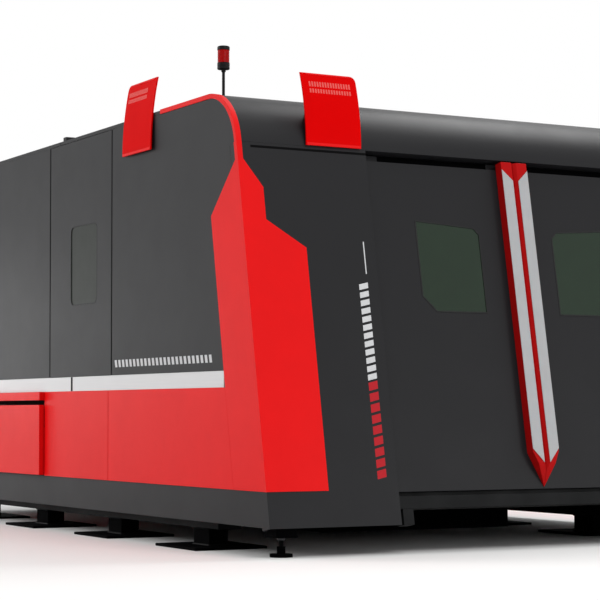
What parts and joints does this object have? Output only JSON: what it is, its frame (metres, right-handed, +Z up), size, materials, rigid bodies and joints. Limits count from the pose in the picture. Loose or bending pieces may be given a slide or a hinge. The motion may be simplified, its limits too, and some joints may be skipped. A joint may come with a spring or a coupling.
{
  "type": "fiber laser cutting machine",
  "caption": "Enclosed flat-bed laser cutter with a leaning front, sliding doors, bullnose roof, side door, slag drawers, and a gantry with cutting head over a saw-tooth slat bed.",
  "frame": {"origin": "on the floor, at the centre of the four end floor anchors", "axes": "+X to the right along the front, +Y from the leaning front to the rear, +Z up"},
  "size_m": [3.254, 5.19, 2.528],
  "materials": {
    "panel_dark": "satin",
    "panel_red": "satin",
    "frame_paint": "satin",
    "bed_paint": "satin",
    "zinc_sheet": "satin",
    "bare_steel": "matte",
    "rail_steel": "gloss",
    "gantry_alloy": "satin",
    "head_alloy": "satin",
    "nozzle_copper": "satin",
    "laser_glass": "gloss",
    "bright_profile": "satin",
    "pale_plastic": "satin",
    "black_plastic": "satin",
    "red_lens": "gloss"
  },
  "bodies": {
    "machine": {"bed_feet": "bed_paint", "bed_side_left": "bed_paint", "bed_side_right": "bed_paint", "column_left": "panel_dark", "column_right": "panel_dark", "control_cabinet": "panel_dark", "corner_cover_left": "panel_red", "corner_cover_right": "panel_red", "door_header": "frame_paint", "door_rail": "rail_steel", "drawer_hood": "panel_red", "drawer_runners": "bed_paint", "flag_front": "panel_red", "flag_side": "panel_red", "frame_left": "frame_paint", "frame_right": "frame_paint", "fume_plenum": "zinc_sheet", "laser_cabinet": "panel_dark", "left_lower_panels": "panel_red", "left_panel_front": "panel_dark", "left_panel_rear": "panel_dark", "levelling_feet": "frame_paint", "rear_wall_lower": "panel_dark", "rear_wall_upper": "panel_dark", "right_lower_panels": "panel_red", "right_panel_front": "panel_dark", "right_panel_rear": "panel_dark", "roof_cross_tubes": "frame_paint", "roof_front": "panel_dark", "roof_trays": "panel_dark", "roof_trims": "panel_red", "side_stripes": "bright_profile", "sill_frame": "panel_dark", "sill_legs": "panel_dark", "skirts": "panel_dark", "slat_combs": "bare_steel", "stack_light_lens": "red_lens", "stack_light_stem": "black_plastic", "support_slats": "bare_steel", "table_frame": "bed_paint", "y_racks": "rail_steel", "y_rails": "rail_steel"},
    "door_left": {"door_left_leaf": "panel_dark", "door_left_window": "laser_glass", "door_left_strip": "panel_red", "door_left_bar": "pale_plastic"},
    "door_right": {"door_right_leaf": "panel_dark", "door_right_window": "laser_glass", "door_right_strip": "panel_red", "door_right_bar": "pale_plastic"},
    "side_door": {"side_door": "panel_dark", "side_door_window": "laser_glass"},
    "cabinet_door": {"cabinet_door": "panel_dark"},
    "drawer_1": {"drawer_1": "panel_red"},
    "drawer_2": {"drawer_2": "panel_red"},
    "gantry": {"gantry": "gantry_alloy", "x_rails": "rail_steel"},
    "cross_carriage": {"cross_carriage": "panel_red"},
    "cutting_head": {"cutting_head": "head_alloy", "nozzle": "nozzle_copper"}
  },
  "joints": [
    {"name": "door_left_slide", "type": "slide", "parent": "machine", "child": "door_left", "axis": [-1, 0, 0], "range_m": [0, 0.64]},
    {"name": "door_right_slide", "type": "slide", "parent": "machine", "child": "door_right", "axis": [1, 0, 0], "range_m": [0, 0.64]},
    {"name": "side_door_hinge", "type": "hinge", "parent": "machine", "child": "side_door", "pos_m": [-1.35, -0.703, 1.5], "axis": [0, 0, 1], "range_deg": [0, 110]},
    {"name": "cabinet_door_hinge", "type": "hinge", "parent": "machine", "child": "cabinet_door", "pos_m": [1.85, -0.703, 1.5], "axis": [0, 0, -1], "range_deg": [0, 110]},
    {"name": "drawer_1_slide", "type": "slide", "parent": "machine", "child": "drawer_1", "axis": [-1, 0, 0], "range_m": [0, 0.78]},
    {"name": "drawer_2_slide", "type": "slide", "parent": "machine", "child": "drawer_2", "axis": [-1, 0, 0], "range_m": [0, 0.78]},
    {"name": "gantry_slide", "type": "slide", "parent": "machine", "child": "gantry", "axis": [0, -1, 0], "range_m": [0, 3.4]},
    {"name": "carriage_slide", "type": "slide", "parent": "gantry", "child": "cross_carriage", "axis": [1, 0, 0], "range_m": [0, 2.06]},
    {"name": "head_slide", "type": "slide", "parent": "cross_carriage", "child": "cutting_head", "axis": [0, 0, 1], "range_m": [0, 0.15]}
  ]
}
